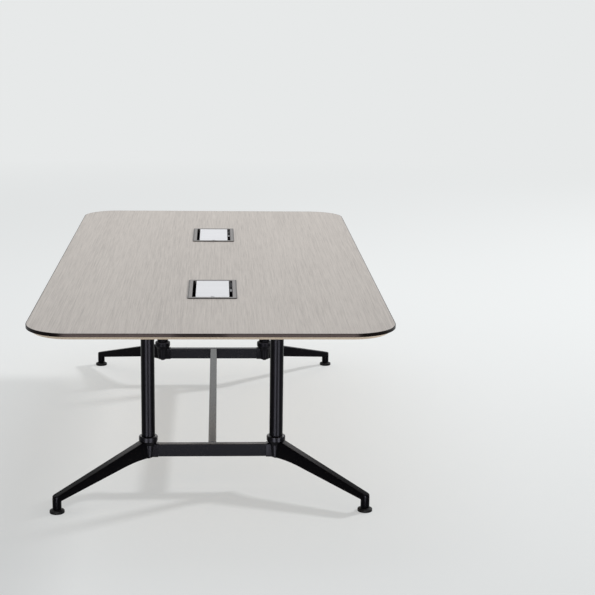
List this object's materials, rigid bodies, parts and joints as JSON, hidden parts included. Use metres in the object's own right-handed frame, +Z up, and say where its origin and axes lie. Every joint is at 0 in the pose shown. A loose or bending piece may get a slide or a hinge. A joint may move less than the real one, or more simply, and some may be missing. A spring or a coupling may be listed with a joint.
{
  "type": "conference table",
  "caption": "Long conference table: rounded rectangular wood-grain top with a reverse-bevelled edge, lidded power modules, and black column bases with splayed legs on levelling feet.",
  "frame": {"origin": "on the floor under the centre of the table top", "axes": "+Z up, X across the table, Y along it; the front module and base are on the -Y side"},
  "size_m": [1.25, 2.5, 0.7235],
  "materials": {
    "laminate": "satin grey wood-grain laminate, grain along the table",
    "edging": "satin dark edge band",
    "birch": "clear-lacquered birch board",
    "black_steel": "satin black powder coat on steel",
    "black_casting": "satin black powder coat on cast aluminium",
    "nylon": "moulded black nylon",
    "plain_steel": "zinc-plated steel",
    "dark_frame": "dark grey coated die casting",
    "satin_aluminium": "satin anodised",
    "pale_aluminium": "fine-brushed pale anodised",
    "black_plastic": "moulded black plastic",
    "grey_plastic": "moulded grey plastic"
  },
  "bodies": {
    "frame": {"core_board": "birch", "top_laminate": "laminate", "edge_band": "edging", "front_left_column": "black_steel", "front_right_column": "black_steel", "rear_left_column": "black_steel", "rear_right_column": "black_steel", "front_left_head_plate": "black_steel", "front_right_head_plate": "black_steel", "rear_left_head_plate": "black_steel", "rear_right_head_plate": "black_steel", "front_left_hub": "black_casting", "front_right_hub": "black_casting", "rear_left_hub": "black_casting", "rear_right_hub": "black_casting", "front_left_leg": "black_casting", "front_right_leg": "black_casting", "rear_left_leg": "black_casting", "rear_right_leg": "black_casting", "front_cross_rail": "black_steel", "rear_cross_rail": "black_steel", "stretcher": "black_steel", "stretcher_front_plate": "black_steel", "stretcher_rear_plate": "black_steel", "front_module_surround": "dark_frame", "front_module_trim": "satin_aluminium", "front_lid_pin": "plain_steel", "front_tub": "black_steel", "front_socket_deck": "black_plastic", "front_socket_a": "black_plastic", "front_socket_b": "black_plastic", "front_port_bar": "black_plastic", "front_charge_ports": "grey_plastic", "front_data_ports": "grey_plastic", "front_inlet": "black_plastic", "rear_module_surround": "dark_frame", "rear_module_trim": "satin_aluminium", "rear_lid_pin": "plain_steel", "rear_tub": "black_steel", "rear_socket_deck": "black_plastic", "rear_socket_a": "black_plastic", "rear_socket_b": "black_plastic", "rear_port_bar": "black_plastic", "rear_charge_ports": "grey_plastic", "rear_data_ports": "grey_plastic", "rear_inlet": "black_plastic"},
    "front_lid": {"front_lid": "pale_aluminium"},
    "rear_lid": {"rear_lid": "pale_aluminium"},
    "front_left_pad": {"front_left_pad": "nylon"},
    "front_right_pad": {"front_right_pad": "nylon"},
    "rear_left_pad": {"rear_left_pad": "nylon"},
    "rear_right_pad": {"rear_right_pad": "nylon"},
    "front_left_stem": {"front_left_stem": "plain_steel"},
    "front_right_stem": {"front_right_stem": "plain_steel"},
    "rear_left_stem": {"rear_left_stem": "plain_steel"},
    "rear_right_stem": {"rear_right_stem": "plain_steel"}
  },
  "joints": [
    {"name": "front_lid_hinge", "type": "hinge", "parent": "frame", "child": "front_lid", "pos_m": [0, -0.433, 0.7193], "axis": [-1, 0, 0], "range_deg": [0, 100]},
    {"name": "rear_lid_hinge", "type": "hinge", "parent": "frame", "child": "rear_lid", "pos_m": [0, 0.709, 0.7193], "axis": [-1, 0, 0], "range_deg": [0, 100]},
    {"name": "front_left_foot_travel", "type": "slide", "parent": "frame", "child": "front_left_pad", "axis": [0, 0, -1], "range_m": [0, 0.012]},
    {"name": "front_right_foot_travel", "type": "slide", "parent": "frame", "child": "front_right_pad", "axis": [0, 0, -1], "range_m": [0, 0.012]},
    {"name": "rear_left_foot_travel", "type": "slide", "parent": "frame", "child": "rear_left_pad", "axis": [0, 0, -1], "range_m": [0, 0.012]},
    {"name": "rear_right_foot_travel", "type": "slide", "parent": "frame", "child": "rear_right_pad", "axis": [0, 0, -1], "range_m": [0, 0.012]},
    {"name": "front_left_stem_turn", "type": "hinge", "parent": "front_left_pad", "child": "front_left_stem", "pos_m": [-0.548, -0.988, 0.01], "axis": [0, 0, -1], "range_deg": [0, 2880]},
    {"name": "front_right_stem_turn", "type": "hinge", "parent": "front_right_pad", "child": "front_right_stem", "pos_m": [0.548, -0.988, 0.01], "axis": [0, 0, -1], "range_deg": [0, 2880]},
    {"name": "rear_left_stem_turn", "type": "hinge", "parent": "rear_left_pad", "child": "rear_left_stem", "pos_m": [-0.548, 0.988, 0.01], "axis": [0, 0, -1], "range_deg": [0, 2880]},
    {"name": "rear_right_stem_turn", "type": "hinge", "parent": "rear_right_pad", "child": "rear_right_stem", "pos_m": [0.548, 0.988, 0.01], "axis": [0, 0, -1], "range_deg": [0, 2880]}
  ],
  "couplings": [
    {"joint": "front_left_stem_turn", "follows": "front_left_foot_travel", "rad_per_m": 4188.8},
    {"joint": "front_right_stem_turn", "follows": "front_right_foot_travel", "rad_per_m": 4188.8},
    {"joint": "rear_left_stem_turn", "follows": "rear_left_foot_travel", "rad_per_m": 4188.8},
    {"joint": "rear_right_stem_turn", "follows": "rear_right_foot_travel", "rad_per_m": 4188.8}
  ]
}
